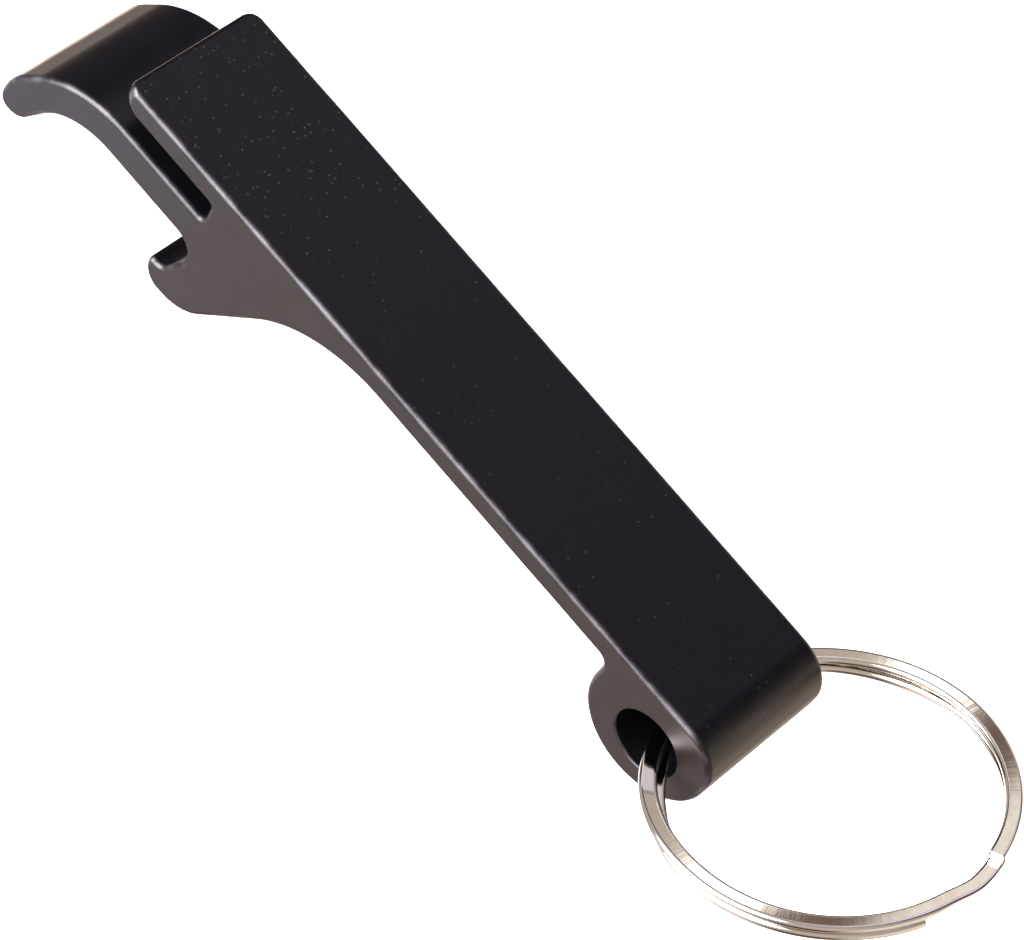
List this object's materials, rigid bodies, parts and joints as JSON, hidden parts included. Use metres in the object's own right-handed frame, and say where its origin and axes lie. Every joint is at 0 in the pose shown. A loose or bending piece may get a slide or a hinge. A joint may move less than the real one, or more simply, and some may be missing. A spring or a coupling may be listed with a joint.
{
  "type": "keychain bottle opener",
  "caption": "Slim extruded bottle opener with a cap mouth, a ring-pull slot under a flat top tab, and a split key ring through the tail bore.",
  "frame": {"origin": "centre of the flat top face", "axes": "+X from the head (cap mouth) to the tail (key ring), +Y across the width, +Z out of the flat top face"},
  "size_m": [0.0821, 0.024, 0.0197],
  "materials": {
    "black_anodised_aluminium": "satin black anodising with a fine grain",
    "nickel_plated_steel": "polished nickel plate"
  },
  "bodies": {
    "opener": {"opener_body": "black_anodised_aluminium"},
    "ring": {"split_ring": "nickel_plated_steel"}
  },
  "joints": [
    {"name": "ring_swing", "type": "hinge", "parent": "opener", "child": "ring", "pos_m": [0.02555, 0, -0.00485], "axis": [0, 1, 0], "range_deg": [-136, 210]}
  ]
}
